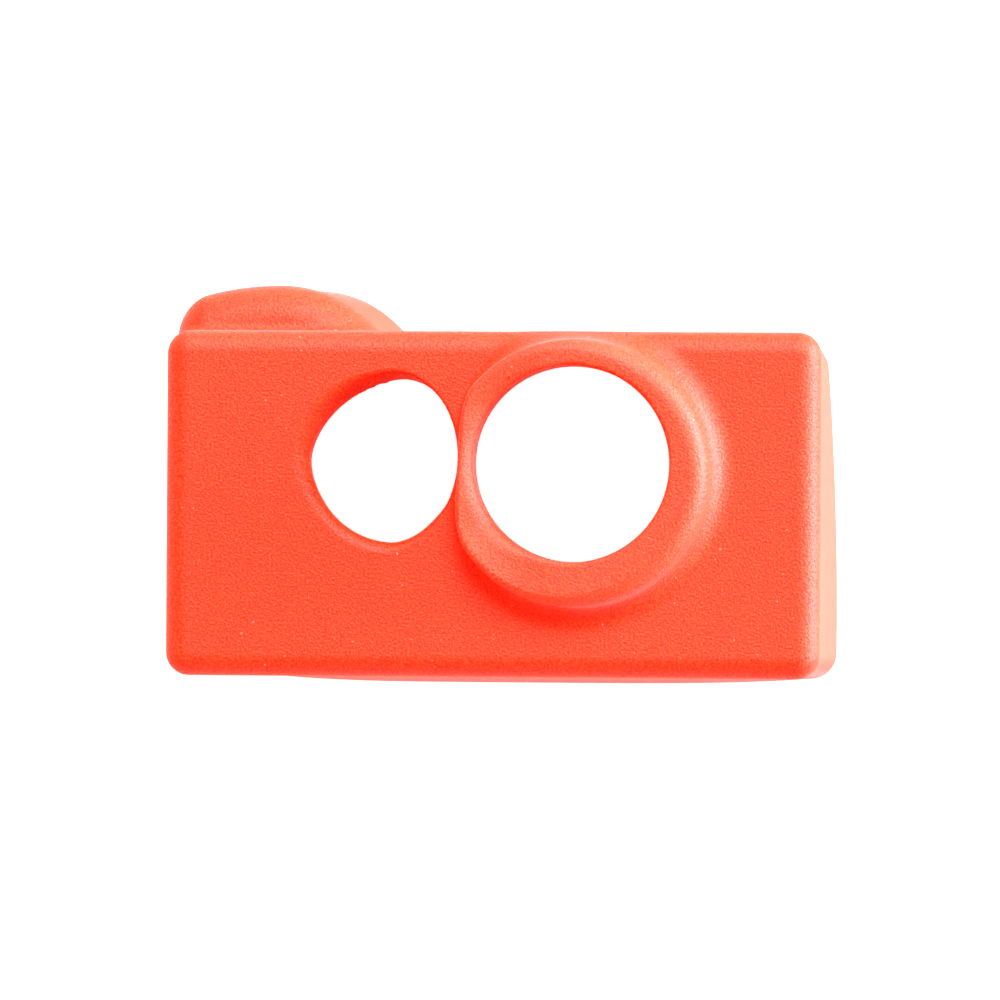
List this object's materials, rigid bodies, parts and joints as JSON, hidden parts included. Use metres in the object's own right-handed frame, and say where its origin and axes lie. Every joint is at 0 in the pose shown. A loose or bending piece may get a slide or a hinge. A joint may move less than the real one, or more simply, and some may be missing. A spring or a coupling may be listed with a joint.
{
  "type": "heater block sock",
  "caption": "Moulded silicone sock for a hotend heater block: an open-backed box with a collared nozzle bore, a cartridge hole beside it and a rounded screw pocket on a long wall.",
  "frame": {"origin": "centre of the bounding box in plan, on the plane of the open rim", "axes": "+X along the long walls, towards the nozzle's end; +Y towards the screw pocket; +Z out of the nozzle side"},
  "size_m": [0.0274, 0.017, 0.0195],
  "materials": {
    "silicone": "matte"
  },
  "bodies": {
    "root": {"silicone_sock": "silicone"}
  },
  "joints": []
}
